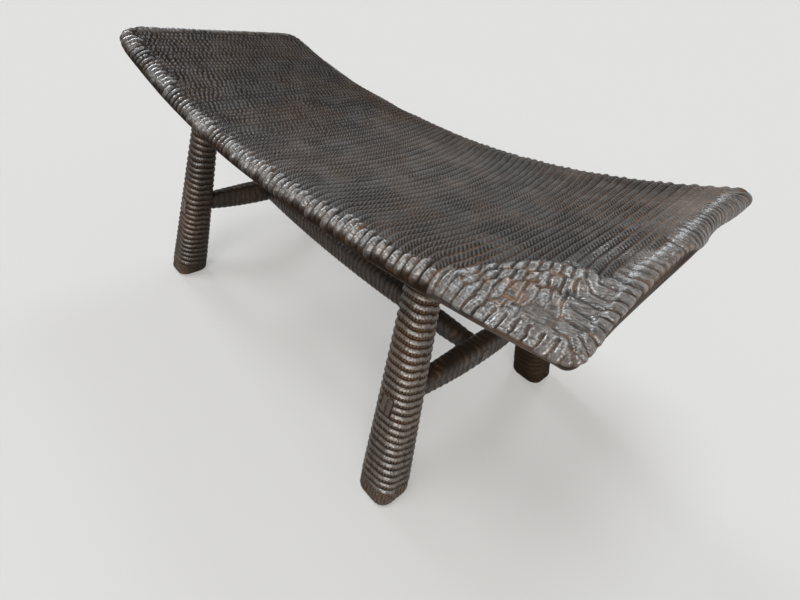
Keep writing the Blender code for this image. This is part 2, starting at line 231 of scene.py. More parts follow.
# Camera, found from the photograph's outlines
IMAGE_WIDTH = 800
FOCAL_PIXELS = 464.36
SENSOR_WIDTH = 36.0
CAMERA_PLACE = Vector((0.6862, -0.5706, 0.7689))
CAMERA_AZIMUTH = math.radians(42.393)
CAMERA_ELEVATION = math.radians(38.175)
CAMERA_ROLL = math.radians(8.515)
CAMERA_CLIP = 1000.0

NOISE_CELLS = 512
TINY = 1e-12


# Helpers

def mix(start, end, share):
    return start + (end - start) * share


def ease(low, high, value):
    """0 at low, 1 at high, and a smooth curve between them."""
    share = np.clip((value - low) / (high - low), 0.0, 1.0)
    return share * share * (3 - 2 * share)


def bell(value, middle, spread):
    """1 at the middle, falling off on both sides."""
    return np.exp(-(((value - middle) / spread) ** 2))


def spot(x, y, middle, size):
    return bell(x, middle[0], size[0]) * bell(y, middle[1], size[1])


def bumps(u, v, seed):
    """Smooth noise from -1 to 1 whose bumps are about one unit of u and of v wide."""
    table = np.random.default_rng(seed).uniform(-1, 1, (NOISE_CELLS, NOISE_CELLS))
    low_u, low_v = np.floor(u).astype(int), np.floor(v).astype(int)
    share_u, share_v = ease(0, 1, u - low_u), ease(0, 1, v - low_v)

    def knot(step_u, step_v):
        return table[(low_u + step_u) % NOISE_CELLS, (low_v + step_v) % NOISE_CELLS]

    near = mix(knot(0, 0), knot(1, 0), share_u)
    far = mix(knot(0, 1), knot(1, 1), share_u)
    return mix(near, far, share_v)


def hump(phase, power):
    """One rounded ridge for each unit of phase, 0 in the furrows and 1 on the crests."""
    return np.abs(np.sin(np.pi * phase)) ** power


# What the tools leave at each point: a lift in metres, then shares for the look of the wood. carve is 0 in
# furrows and 1 on crests, and darkens the furrows with stain and painted shade; polish also paints a pale
# sheen; bare is orange wood without stain, and cuts are fine slanting ones.
Marks = namedtuple("Marks", "lift carve polish bare cuts", defaults=[0.0])


def blended(first, second, share):
    return Marks(*(mix(a, b, share) for a, b in zip(first, second)))


def running_total(steps):
    return np.concatenate([[0.0], np.cumsum(steps)])


def seat_middle(x, y):
    """Height of the slab's middle surface: it dips along its length and winds a little."""
    along, across = x / HALF_LENGTH, y / HALF_WIDTH
    dip = SEAT_END_RISE * np.abs(along) ** SEAT_CURVE_POWER
    wind = np.where(along > 0, SEAT_WIND_NEAR, -SEAT_WIND_FAR) * along**2 * across
    return SEAT_HEIGHT - HALF_THICK + dip + wind


def grid_faces(index):
    """Quads of a grid of point numbers, wound so that the first axis turns towards the second."""
    return np.stack([index[:-1, :-1], index[1:, :-1], index[1:, 1:], index[:-1, 1:]], -1).reshape(-1, 4)


def point_normals(points, faces):
    """Mean of the normals of the quads or triangles round each point, larger faces counting more."""
    a, b, c, d = (points[faces[:, k]] for k in (0, 1, 2, -1))
    face_normals = np.cross(c - a, d - b)
    normals = np.zeros_like(points)
    for corner in faces.T:
        for axis in range(3):
            normals[:, axis] += np.bincount(corner, face_normals[:, axis], len(points))
    return normals


def new_object(name, data):
    made = bpy.data.objects.new(name, data)
    bpy.context.scene.collection.objects.link(made)
    return made


def carved_piece(name, points, quads, triangles, marks, tool, material):
    """A closed mesh, lifted along its normals, with its marks and its places along the tool as attributes."""
    normals = point_normals(points, quads) + point_normals(points, triangles)
    normals /= np.maximum(np.linalg.norm(normals, axis=1, keepdims=True), TINY)
    points = points + normals * marks.lift[:, None]
    mesh = bpy.data.meshes.new(name)
    mesh.from_pydata(points.tolist(), [], quads.tolist() + triangles.tolist())
    for look in Marks._fields[1:]:
        layer = mesh.attributes.new(look, "FLOAT", "POINT")
        layer.data.foreach_set("value", getattr(marks, look).astype(np.float32))
    layer = mesh.attributes.new("tool", "FLOAT_VECTOR", "POINT")
    layer.data.foreach_set("vector", tool.astype(np.float32).ravel())
    mesh.shade_smooth()
    mesh.materials.append(material)
    return new_object(name, mesh)


def stand_for(piece, node):
    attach(piece, "root")
    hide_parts(node)


# Materials

class Nodes:
    """Short ways to add nodes to one node tree."""

    def __init__(self, tree):
        self.tree = tree

    def put(self, value, socket):
        """Links another node's output to a socket, or gives it a plain number, colour or vector."""
        if isinstance(value, bpy.types.NodeSocket):
            self.tree.links.new(value, socket)
        else:
            socket.default_value = (*value, 1.0) if socket.type == "RGBA" else value

    def add(self, kind, inputs=None, **settings):
        """Outputs of a new node, with `inputs` by the name or the number of each socket."""
        node = self.tree.nodes.new(kind)
        for name, value in settings.items():
            setattr(node, name, value)
        for socket, value in (inputs or {}).items():
            self.put(value, node.inputs[socket])
        return node.outputs

    def attribute(self, name, output="Fac"):
        return self.add("ShaderNodeAttribute", attribute_name=name)[output]

    def maths(self, operation, first, second=0.0, clamp=False):
        inputs = {0: first, 1: second}
        return self.add("ShaderNodeMath", inputs, operation=operation, use_clamp=clamp)[0]

    def times(self, first, second, clamp=False):
        return self.maths("MULTIPLY", first, second, clamp)

    def ramp(self, value, low, high, start=0.0, end=1.0, curve="LINEAR"):
        inputs = dict(enumerate((value, low, high, start, end)))
        return self.add("ShaderNodeMapRange", inputs, interpolation_type=curve, clamp=True)[0]

    def noise(self, place, scale, detail, stretch=(1, 1, 1)):
        spread = self.add("ShaderNodeMapping", {"Vector": place, "Scale": stretch})[0]
        inputs = {"Vector": spread, "Scale": scale, "Detail": detail, "Roughness": GRAIN_ROUGHNESS}
        return self.add("ShaderNodeTexNoise", inputs)["Fac"]

    def hatch(self, place, turns, shift):
        """Waves from -1 to 1 along the vector `turns`, in radians a unit, moved by `shift`."""
        dot = self.add("ShaderNodeVectorMath", {0: place, 1: turns}, operation="DOT_PRODUCT")["Value"]
        return self.maths("SINE", self.maths("ADD", dot, shift))

    def blend(self, share, first, second):
        return self.add("ShaderNodeMix", {0: share, 6: first, 7: second}, data_type="RGBA")[2]

    def bump(self, height, distance, strength, before=None):
        inputs = {"Height": height, "Distance": distance, "Strength": strength}
        if before is not None:
            inputs["Normal"] = before
        return self.add("ShaderNodeBump", inputs)[0]

    def seen_rays(self):
        """1 for rays from the camera and for mirrored or passing ones, which show the background."""
        path = self.add("ShaderNodeLightPath")
        seen = self.maths("MAXIMUM", path["Is Camera Ray"], path["Is Glossy Ray"])
        return self.maths("MAXIMUM", seen, path["Is Transmission Ray"])


def new_material(name):
    material = bpy.data.materials.new(name)
    material.use_nodes = True
    return material, Nodes(material.node_tree)


def carved_teak(name, teak):
    """Dark stained teak: black furrows, part stain and part painted shade, bare orange wood at worn edges, a
    satin polish on the crests with a pale painted sheen.
    """
    material, n = new_material(name)
    shader = n.tree.nodes["Principled BSDF"].inputs
    place = n.add("ShaderNodeTexCoord")["Object"]
    tool = n.attribute("tool", "Vector")
    carve, polish, bare = n.attribute("carve"), n.attribute("polish"), n.attribute("bare")
    cloud = n.noise(place, 9.0, 3.0)
    streak = n.noise(place, 1.0, 4.0, teak.grain)
    fleck = n.noise(place, 260.0, 2.0)
    chip = n.noise(tool, 1.0, 3.0, teak.chips)
    hatch = n.hatch(tool, teak.cuts, n.times(chip, 5.0))
    cut = n.times(n.attribute("cuts"), n.ramp(hatch, -0.3, 0.8, 0.95, 0.0))
    body = n.blend(n.ramp(cloud, 0.42, 0.62), teak.dark, teak.brown)
    rubbed = n.times(n.ramp(carve, 0.55, 1.0), n.ramp(chip, 0.35, 0.65, 0.15, 1.0))
    rubbed = n.times(rubbed, n.ramp(fleck, 0.35, 0.65, 0.45, 1.25))
    rubbed = n.times(rubbed, n.maths("SUBTRACT", 1.0, cut))
    body = n.blend(rubbed, body, teak.pale)
    # painted sheen: polished crests are painted pale, a painted highlight on top of the real gloss
    painted_sheen = n.times(rubbed, n.ramp(polish, 0.55, 1.0, 0.0, 0.7))
    body = n.blend(painted_sheen, body, teak.painted_sheen)
    # furrows and cuts are painted near-black: part dark stain, part painted shade
    hollow = n.times(n.ramp(carve, 0.05, 0.55, 1.0, 0.0), teak.furrows)
    body = n.blend(n.maths("MAXIMUM", hollow, n.times(cut, CUT_SHADE)), body, FURROW_STAIN_AND_SHADE)
    worn = n.blend(n.ramp(chip, 0.38, 0.62), WORN, WORN_PALE)
    shown = n.times(bare, n.ramp(streak, 0.30, 0.60, 0.45, 1.0), clamp=True)
    n.put(n.blend(shown, body, worn), shader["Base Color"])
    shine = n.times(polish, n.ramp(carve, 0.2, 0.9, 0.05, 0.33))
    rough = n.maths("SUBTRACT", n.ramp(carve, 0.0, 0.8, 0.70, 0.44), shine)
    n.put(n.maths("ADD", rough, n.ramp(chip, 0.2, 0.8, 0.09, -0.07), clamp=True), shader["Roughness"])
    gloss = n.times(n.ramp(carve, 0.10, 0.75, 0.15, 1.0), n.ramp(polish, 0.1, 0.9, 0.18, 1.0))
    n.put(n.times(gloss, n.ramp(cut, 0.0, 0.75, 1.0, 0.15)), shader["Specular IOR Level"])
    tooled = n.bump(fleck, 0.0012, 0.25, n.bump(chip, 0.0020, 0.70))
    tooled = n.bump(cut, -0.0010, 0.8, tooled)
    n.put(n.bump(streak, 0.0006, 0.35, tooled), shader["Normal"])
    return material


def wedge_teak():
    """Paler end grain of the tenon wedges."""
    material, n = new_material("wedge_end_grain")
    shader = n.tree.nodes["Principled BSDF"].inputs
    place = n.add("ShaderNodeTexCoord")["Object"]
    pores = n.noise(place, 420.0, 3.0)
    cloud = n.noise(place, 60.0, 2.0)
    pale = n.blend(n.ramp(cloud, 0.35, 0.65), WEDGE_BROWN, WEDGE_PALE)
    n.put(n.blend(n.ramp(pores, 0.35, 0.50, 1.0, 0.0), pale, WEDGE_DARK), shader["Base Color"])
    n.put(n.ramp(pores, 0.3, 0.7, 0.68, 0.48), shader["Roughness"])
    n.put(n.bump(pores, 0.0008, 0.5), shader["Normal"])
    return material


# Seat

def seat_columns():
    """Along the middle line, each column's place and its row number, whole numbers being furrows."""
    widths = np.random.default_rng(11).uniform(0.84, 1.16, ROW_COUNT)
    edges = running_total(widths)
    edges = mix(-INNER_X, INNER_X, edges / edges[-1])
    plain_rows = ROW_COUNT - FINE_ROWS
    coarse = np.arange(plain_rows * ROW_COLUMNS) / ROW_COLUMNS
    fine = plain_rows + np.arange(FINE_ROWS * FINE_COLUMNS + 1) / FINE_COLUMNS
    count = np.concatenate([coarse, fine])
    return np.interp(count, np.arange(ROW_COUNT + 1), edges), count


def row_sway(x, y):
    """How far the rows bow and waver along the bench; they stay in place at its edges."""
    bow = ROW_BOW * bell(x, *ROW_BOW_X) * (1 - (y / INNER_Y) ** 2)
    wave = ROW_WAVE * bumps(x / 0.02, y / 0.014, 27) * (1 - (y / INNER_Y) ** 8)
    return (bow + wave) * (1 - (x / INNER_X) ** 8)


def rounded_plan(x, y):
    """Draws the square corners of the top grid in to round ones."""
    radius = TOP_CORNER_RADIUS
    u = np.clip((np.abs(x) - (INNER_X - radius)) / radius, 0, 1)
    v = np.clip((np.abs(y) - (INNER_Y - radius)) / radius, 0, 1)
    in_x = radius * u * (1 - np.sqrt(1 - v * v / 2))
    in_y = radius * v * (1 - np.sqrt(1 - u * u / 2))
    return x - np.sign(x) * in_x, y - np.sign(y) * in_y


def widened(x, y):
    """Carries the top further out at the near front and the far back corner, where the edge is fuller."""
    at_corner = ease(*CORNER_X, x) * ease(0.0, -INNER_Y, y)
    at_end = ease(*CORNER_Y, y) * ease(CORNER_X[0], INNER_X, x)
    at_far_back = ease(*FAR_BACK_X, x) * ease(0.0, INNER_Y, y)
    out_y = FAR_BACK_FULL * at_far_back - (SHOULDER_SIDE - CORNER_SHOULDER) * at_corner
    return x + (SHOULDER_END - CORNER_SHOULDER) * at_end, y + out_y


def fanned(place, inner, outer, radius):
    """Carries points along a side of the top grid out to the seat's edge, fanning round the corner's arc.

    Gives the place along the side and the distance in from its line.
    """
    start = inner - CORNER_FAN
    straight = outer - radius - start
    length = straight + radius * math.pi / 4
    share = np.clip((np.abs(place) - start) / CORNER_FAN, 0, 1)
    run = CORNER_FAN * share + (length - CORNER_FAN) * share**2
    turn = np.maximum(run - straight, 0) / radius
    along = np.where(share > 0, start + np.minimum(run, straight) + radius * np.sin(turn), np.abs(place))
    return np.sign(place) * along, radius * (1 - np.cos(turn))


def outer_edge(flat_x, flat_y):
    """The seat's outer edge beside each point of the top grid's border."""
    corners = [(np.sign(flat_x) == end) & (np.sign(flat_y) == side) for end, side in CORNER_RADII]
    radius = np.select(corners, list(CORNER_RADII.values()), TOP_CORNER_RADIUS)
    on_side = np.isclose(np.abs(flat_y), INNER_Y)
    along_x, in_y = fanned(flat_x, INNER_X, HALF_LENGTH, radius)
    along_y, in_x = fanned(flat_y, INNER_Y, HALF_WIDTH, radius)
    x = np.where(on_side, along_x, np.sign(flat_x) * (HALF_LENGTH - in_x))
    y = np.where(on_side, np.sign(flat_y) * (HALF_WIDTH - in_y), along_y)
    shaped = TIP_REACH * ease(*TIP_Y, y) - END_HOLLOW * bell(y, *END_HOLLOW_Y)
    return x + shaped * ease(HALF_LENGTH - END_SHAPED, HALF_LENGTH, x), y


def patch_depth(x, y):
    """How far a point lies inside the coarser carving of the near front corner, in metres."""
    fall = np.where(x < PATCH_MIDDLE, PATCH_FALL_FRONT, PATCH_FALL_END)
    return PATCH_TOP - fall * (x - PATCH_MIDDLE) ** 2 - y


def corner_drop(x, y):
    """The near front corner is rolled over: its top falls away from the slab."""
    reaches = np.clip(patch_depth(x, y) / CORNER_DROP_REACH, 0, CORNER_DROP_MOST)
    return CORNER_DROP * reaches**CORNER_DROP_POWER


def back_dull(y):
    """Share of the polish that is left towards the back edge."""
    return mix(1.0, BACK_POLISH, ease(*BACK_Y, y))


def row_of(row):
    return np.clip(np.floor(row).astype(int), 0, ROW_COUNT - 1)


class SeatCarving:
    """The marks of each kind of carving on the seat, from the row number and the place of each point."""

    def __init__(self):
        rng = np.random.default_rng(5)
        along = np.arange(ROW_COUNT) / ROW_COUNT
        self.bold = rng.uniform(0.65, 1.20, ROW_COUNT)
        self.shift = rng.uniform(0, 1, ROW_COUNT)
        self.stop = np.radians(rng.uniform(-18, 6, ROW_COUNT))
        self.head = np.radians(rng.uniform(54, 70, ROW_COUNT) + 14 * ease(0.30, 0.05, along))
        stretch = 0.5 + 0.5 * np.sin(2 * np.pi * ROW_COUNT * along / COIL_STRETCH + COIL_STRETCH_START)
        stretch = mix(stretch, 1.0, ease(0.35, 0.60, along))
        self.proud = mix(0.55, 1.15, ease(0.15, 0.6, stretch)) * rng.uniform(0.85, 1.15, ROW_COUNT)
        self.beaded = mix(0.80, 0.08, ease(0.15, 0.45, stretch))
        self.lean = rng.uniform(-1, 1, (BLADE_CELLS, BLADE_CELLS, 3))

    def rows(self, x, y, row):
        """Rows across the top: a flat crest, a narrow furrow and slanting notches along its near side."""
        k = row_of(row)
        through = row - k
        crest = 1 - np.abs(2 * through - 1) ** 5
        far = ease(*FAR_X, x)
        worn = ease(*WORN_X, x) * ease(*WORN_Y, y)
        glossy = spot(x, y, *GLOSSY_SPOT)
        wander = mix(0.5, 0.40, far) * bumps(x / 0.03, y / 0.02, 21)
        slant = mix(BEAD_SLANT, 0.4, far) * (through - 0.5)
        bead = y / mix(*BEAD_PITCH, k / ROW_COUNT) + mix(7.0, 0.5, far) * self.shift[k]
        notch = (1 - hump(bead + slant + wander, 1.2)) * mix(1.0, 0.6, through) * mix(0.55, 1.25, far)
        notch *= mix(0.55, 1.1, ease(-0.5, 0.5, bumps(x / 0.020, y / 0.020, 22)))
        depth = mix(1.0, 0.40, far) * self.bold[k]
        keep = 1 - 0.78 * worn
        lift = keep * (ROW_DEPTH * depth * (crest - 1) - BEAD_DEPTH * notch) * (1 + 0.8 * glossy)
        # painted shade: the notches, and the rows towards the far end, are painted darker
        shown = mix(1.0, crest, keep * np.minimum(depth, 1.0)) * np.maximum(1 - 0.75 * keep * notch, 0)
        shown = shown ** mix(mix(1.0, 1.5, keep), 3.0, far)
        shown = mix(mix(0.15, 0.0, far), 1.0, shown)
        polish = np.clip(mix(0.36, 0.03, far) + 0.10 * worn + 0.6 * glossy, 0, 1)
        bare = (1 - crest) * ease(-0.2, 0.6, bumps(x / 0.06, y / 0.04, 24)) * ease(-0.4, 0.5, x)
        cuts = mix(0.25, 1.0, ease(0.25, 0.50, through)) * mix(1.0, 0.85, far) * (1 - 0.6 * worn)
        cuts *= mix(0.55, 1.0, ease(-0.5, 0.3, bumps(x / 0.035, y / 0.030, 28)))
        return Marks(lift, shown, polish * back_dull(y), 0.60 * bare + 0.28 * worn, cuts)

    def coil(self, row, phase, angle):
        """Proud fingers over the long edges: a round head above, dying out into a plain band below that is
        painted darker as painted shade.
        """
        k = row_of(row)
        run = (self.head[k] - angle) / (self.head[k] - self.stop[k])
        low = ease(0.45, 0.85, run)
        finger = ease(-0.04, 0.12, run) * (1 - ease(0.60, 1.05, run))
        beads = hump(angle * 3.1 + self.shift[k], 0.5)
        through = phase % 1
        ridge = ease(0.02, 0.36, through) * ease(1.0, 0.45, through)
        ridge = ridge ** mix(1.5, 0.8, ease(0.0, 0.35, run))
        rise = ridge * finger * self.proud[k] * mix(1.0, beads, self.beaded[k])
        rough = 0.08 * bumps(phase * 3, angle * 9, 26)
        bare = 0.7 * ease(0.50, 0.12, rise) * ease(-0.2, 0.6, bumps(phase, angle * 2, 25))
        bare = np.maximum(bare, 0.10 * ease(0.55, 0.95, run)) * mix(1.0, 0.45, low)
        # painted shade: the fingers' lower part is painted darker and loses its shine
        shown = ease(0.05, 0.55, rise) * mix(1.0, 0.55, low)
        return Marks(COIL_DEPTH * (rise + rough - 0.25), shown, mix(1.0, 0.05, low), bare)

    def blades(self, across, along):
        """Flat chisel marks in unit cells, each leaning its own way: their rise, and 0 at their edges."""
        cell_u, cell_v = np.floor(across).astype(int), np.floor(along).astype(int)
        lean_u, lean_v, size = np.moveaxis(self.lean[cell_u % BLADE_CELLS, cell_v % BLADE_CELLS], -1, 0)
        u, v = 2 * (across - cell_u) - 1, 2 * (along - cell_v) - 1
        flat = (1 - np.abs(u) ** 5) * (1 - np.abs(v) ** 8)
        return flat * (0.85 + 0.24 * lean_u * u + 0.30 * lean_v * v + 0.15 * size), flat

    def fingers(self, x, y):
        """Broad flat fingers over the front edge of the near corner."""
        number = x / FINGER_PITCH + 0.15 * bumps(x / 0.03, y / 0.01, 39)
        rise, flat = self.blades(number, np.full_like(number, 0.5))
        rough = 0.10 * bumps(number * 5, y / 0.004, 36)
        bare = ease(0.7, 0.1, flat) * ease(-0.5, 0.4, bumps(number * 1.7, y / 0.01, 38))
        return Marks(PATCH_DEPTH * (rise + rough - 0.55), flat + rough, 1.0, bare)

    def end_gouge(self, x, y, phase):
        """Gouges over the two ends, lower and duller towards the back of the near one."""
        rise, flat = self.blades(phase, np.full_like(phase, 1.5))
        near_front = ease(0.10, -0.10, y)
        size = np.where(x > 0, mix(0.50, 1.0, near_front), 0.9)
        shine = np.where(x > 0, mix(0.80, 1.0, near_front), 0.4)
        rough = bumps(phase * 3, x / 0.008, 45)
        bare = ease(mix(0.9, 0.5, near_front), 0.1, flat) * ease(-0.5, 0.5, rough)
        lift = END_GOUGE_DEPTH * size * (rise + 0.10 * rough - 0.6)
        return Marks(lift, flat, shine, bare * mix(1.0, 0.8, near_front))

    def patch(self, x, y, row):
        """Tiers of short deep blades, with a plain spot among them."""
        wander = 0.15 * bumps(x / 0.016, y / 0.016, 32)
        depth = patch_depth(x, y)
        tier = np.interp(depth, PATCH_TIERS, range(len(PATCH_TIERS)))
        tier = tier + 0.35 * (self.shift[row_of(row)] - 0.5) + wander
        rise, flat = self.blades(row + PATCH_SLANT * y + wander + 0.5 * (np.floor(tier) % 2), tier)
        plain = spot(x, y, *PLAIN_SPOT)
        rise, flat = mix(rise, 0.75, plain), mix(flat, 0.9, plain)
        chips = 0.13 * bumps(x / 0.0045, y / 0.0045, 35)
        bare = ease(0.75, 0.10, flat) * ease(-0.35, 0.35, bumps(x / 0.010, y / 0.010, 34))
        scuffed = ease(0.0, 0.6, bumps(x / 0.016, y / 0.016, 33)) * ease(0.010, 0.035, depth)
        kept = mix(1.0, 0.5, ease(0.045, 0.080, depth))
        lift = PATCH_DEPTH * kept * (rise + chips - 0.62)
        return Marks(lift, flat + chips, 1.0, np.maximum(bare, 0.45 * scuffed))

    def top(self, x, y, row, end_number):
        """The whole top: rows, then the patch, the fingers and the gouges of the ends over them."""
        marks = self.rows(x, y, row)
        inside = ease(-0.003, 0.006, patch_depth(x, y) + 0.006 * bumps(x / 0.012, y / 0.012, 31))
        marks = blended(marks, self.patch(x, y, row), inside)
        from_front = HALF_WIDTH + y + 0.004 * bumps(x / 0.01, y / 0.1, 37)
        at_rim = ease(FINGER_REACH + 0.003, FINGER_REACH - 0.003, from_front) * ease(*FINGERS_FROM, x)
        marks = blended(marks, self.fingers(x, y), at_rim)
        reach = mix(*END_BAND, ease(-0.06, -0.16, y))
        to_end = HALF_LENGTH - np.abs(x) + 0.008 * bumps(y / 0.012, x / 0.1, 42)
        marks = blended(marks, self.end_gouge(x, y, end_number), 1 - ease(0.7 * reach, reach, to_end))
        return blended(marks, Marks(0.0, 1.0, 1.0, 0.05), 0.85 * spot(x, y, *END_SPOT))

    def stop_angle(self, x, y, row, on_side, at_corner):
        """The angle round the edge below which its marks die out."""
        stop = self.stop[row_of(row)]
        near_degrees = mix(mix(34, 8, ease(-0.13, -0.21, y)), -20, ease(0.0, 0.08, y))
        end_degrees = np.where(x > 0, near_degrees, 5)
        at_end = np.radians(end_degrees + 8 * bumps(y / 0.03, x / 0.03, 43))
        at_finger = mix(0.28, 0.10, ease(0.540, 0.585, x)) + 0.8 * stop
        return mix(at_end, mix(stop - 0.3, at_finger, at_corner), on_side)

    def nose(self, x, y, row, phase, angle, on_side):
        """Round the edge: coils on the long sides, gouges on the ends, both dying out above a plain rim."""
        head = self.head[row_of(row)]
        at_corner = ease(*FINGERS_FROM, x) * (y < 0)
        coil = self.coil(row, phase, angle)
        flatter = np.where(y > 0, mix(0.30, 0.45, ease(-0.4, 0.0, x)), 1.0)
        side = blended(coil._replace(lift=flatter * coil.lift), self.fingers(x, y), at_corner)
        shine = back_dull(y) * mix(0.72, 1.0, ease(-0.45, 0.0, x))
        orange = mix(0.15, 1.0, ease(-0.2, 0.25, x))
        side = side._replace(polish=shine * side.polish, bare=orange * side.bare)
        above = ease(head - 0.03, head + 0.06, angle) * (1 - at_corner)
        side = blended(side, self.rows(x, y, row), above)
        marks = blended(self.end_gouge(x, y, phase), side, on_side)
        stop = self.stop_angle(x, y, row, on_side, at_corner)
        at_end = (1 - on_side) * (x > 0)
        on_corner = at_corner * on_side
        thick = np.maximum(on_corner, at_end * ease(0.10, 0.0, y)) * bell(angle, stop + 0.22, 0.16)
        brown = np.maximum(at_end, at_corner * ease(0.50, 0.57, x)) * bell(angle, stop + 0.05, 0.14)
        bare = np.maximum(marks.bare, 0.55 * brown)
        marks = marks._replace(lift=marks.lift + FINGER_END * thick, bare=bare)
        ridges = bumps((x + y) / 0.06, angle * 9, 44)
        banded = np.maximum(on_corner, 0.6 * at_end)
        rim = Marks(0.0004 * ridges - mix(0.0008, 0.0018, banded), mix(0.30, 0.38, banded) + 0.25 * ridges,
                    mix(0.05, 0.4, banded), mix(0.10, 0.42, banded) * ease(-0.4, 0.8, ridges))
        return blended(rim, marks, ease(stop - RIM_BLEND, stop + RIM_BLEND, angle))


def adzed(x, y):
    """The underside is left rough from the adze."""
    facet = bumps(x / 0.045, y / 0.022, 51)
    return Marks(ADZE_DEPTH * (facet - 1) / 2, 0.45 + 0.3 * facet, 0.05, 0.25 * ease(0.2, 0.9, facet))


def edge_numbers(outer, loop_row, on_side):
    """Number of the coil or gouge at each point round the seat's edge.

    It grows by one a row along the sides and by one a gouge along the ends, eased so that they meet.
    """
    x, y = outer
    step = np.hypot(np.diff(x, append=x[0]), np.diff(y, append=y[0]))
    rows = np.abs(np.diff(loop_row, append=loop_row[0]))
    shared = (on_side + np.roll(on_side, -1)) / 2
    pitch = np.where(x > 0, np.interp(y, END_GOUGE_AT, END_GOUGE_PITCH), FAR_GOUGE_PITCH)
    end_growth = step / pitch * (1 - shared)
    growth = np.minimum(rows, 1.0) * shared + end_growth
    front, back = (int(np.argmin(np.hypot(x, y - side * HALF_WIDTH))) for side in (-1, 1))
    both = loop_row[front] + loop_row[back]
    number = np.arange(len(growth))
    for first, last, wanted in ((front, back, -both), (back, front, both)):
        after, before = number >= first, number < last
        here = after & before if first < last else after | before
        missing = wanted - growth[here].sum()
        missing -= round(missing)
        growth[here] += end_growth[here] * missing / end_growth[here].sum()
    total = running_total(growth[:-1])
    return total - total[front] + loop_row[front]


def end_numbers(outer, phase, x, y):
    """Edge numbers carried in from the seat's ends over the top, leaning to the front at the near end."""
    numbers = np.zeros_like(x)
    for end in ENDS.values():
        at_end = np.sign(outer[0]) == end
        order = np.argsort(outer[1][at_end])
        inside = np.maximum(HALF_LENGTH - CORNER_SHOULDER - x, 0) * (end > 0)
        edge_y = y - END_SLANT * ease(0.06, -0.10, y) * inside
        carried = np.interp(edge_y, outer[1][at_end][order], phase[at_end][order])
        numbers = np.where(np.sign(x) == end, carried, numbers)
    return numbers


class Blocks:
    """Gathers blocks of points with their marks and tool places, and gives each block's point numbers."""

    def __init__(self):
        self.parts = []

    def add(self, x, y, z, marks, tool):
        shape = np.shape(x)
        columns = [np.broadcast_to(part, shape).ravel() for part in (x, y, z, *marks, *tool)]
        count = sum(part.shape[1] for part in self.parts)
        self.parts.append(np.stack(columns))
        return count + np.arange(columns[0].size).reshape(shape)

    def whole(self):
        columns = np.concatenate(self.parts, 1)
        return columns[:3].T, Marks(*columns[3:8]), columns[8:].T


def outline_loop(grid):
    """The border of a grid, once round, from its first corner along the first axis."""
    return np.concatenate([grid[:-1, 0], grid[-1, :-1], grid[:0:-1, -1], grid[0, :0:-1]])


def halved_band(fine, coarse):
    """Triangles from a loop of points to one with every other point left out."""
    a, b, c = fine[0::2], fine[1::2], np.roll(fine, -1)[1::2]
    low, high = coarse, np.roll(coarse, -1)
    return np.concatenate([np.stack(corners, 1) for corners in ((a, low, b), (b, low, high), (b, high, c))])


def edge_ring(inner, outer, shoulder, angle):
    """The line round the seat's edge at one angle, which is 0 at its widest line."""
    slope, level = math.sin(angle), math.cos(angle)
    if angle >= 0:
        out, height = level, HALF_THICK - EDGE_LEVEL
        dropped = mix(CORNER_EDGE_DROP, 1.0, slope)
    else:
        out, height = 1 - UNDER_REACH / shoulder * (1 - level), HALF_THICK + EDGE_LEVEL
        dropped = CORNER_EDGE_DROP * level
    x, y = mix(inner, outer, out)
    return x, y, seat_middle(x, y) + EDGE_LEVEL + height * slope - dropped * corner_drop(x, y)


def make_seat(material):
    """The carved top, its edge in rings down to the underside, and the underside on a coarser grid."""
    carving, blocks = SeatCarving(), Blocks()
    column_x, column_row = seat_columns()
    flat_x, flat_y = np.meshgrid(column_x, np.linspace(-INNER_Y, INNER_Y, SEAT_LINES + 1), indexing="ij")
    row = np.repeat(column_row[:, None], SEAT_LINES + 1, 1)
    x, y = widened(*rounded_plan(flat_x + row_sway(flat_x, flat_y), flat_y))

    inner = np.stack([outline_loop(x), outline_loop(y)])
    outer = np.stack(outer_edge(outline_loop(flat_x), outline_loop(flat_y)))
    shoulder = np.hypot(*(outer - inner))
    on_side = ease(0.3, 0.7, ((outer - inner)[1] / shoulder) ** 2)
    loop_row = outline_loop(row)
    phase = edge_numbers(outer, loop_row, on_side)

    marks = carving.top(x, y, row, end_numbers(outer, phase, x, y))
    top = blocks.add(x, y, seat_middle(x, y) + HALF_THICK - corner_drop(x, y), marks, (row, y, x))
    quads, triangles = [grid_faces(top)], []
    ring = outline_loop(top)
    for angle in np.radians(NOSE_ANGLES):
        ring_x, ring_y, ring_z = edge_ring(inner, outer, shoulder, angle)
        marks = carving.nose(ring_x, ring_y, loop_row, phase, angle, on_side)
        wrap = 0.25 * shoulder * (math.pi / 2 - angle)
        new = blocks.add(ring_x, ring_y, ring_z, marks, (loop_row, ring_y - wrap, ring_x))
        quads.append(np.stack([ring, new, np.roll(new, -1), np.roll(ring, -1)], -1))
        ring = new

    def add_under(under_x, under_y):
        height = seat_middle(under_x, under_y) - HALF_THICK
        tool = (ADZE_ROWS * under_x, under_y, under_x)
        return blocks.add(under_x, under_y, height, adzed(under_x, under_y), tool)

    new = add_under(*mix(outer, inner, (UNDER_REACH + UNDER_STEP) / shoulder)[:, ::2])
    triangles.append(halved_band(ring, new))
    inset = UNDER_REACH + 3 * UNDER_STEP
    coarse = np.s_[::UNDER_LINES, ::UNDER_LINES]
    under = add_under(flat_x[coarse] * (HALF_LENGTH - inset) / INNER_X,
                      flat_y[coarse] * (HALF_WIDTH - inset) / INNER_Y)
    triangles.append(halved_band(new, outline_loop(under)))
    quads.append(grid_faces(under)[:, ::-1])
    points, marks, tool = blocks.whole()
    quads, triangles = np.concatenate(quads), np.concatenate(triangles)
    piece = carved_piece("seat", points, quads, triangles, marks, tool, material)
    stand_for(piece, "seat_slab")


# Lofted pieces

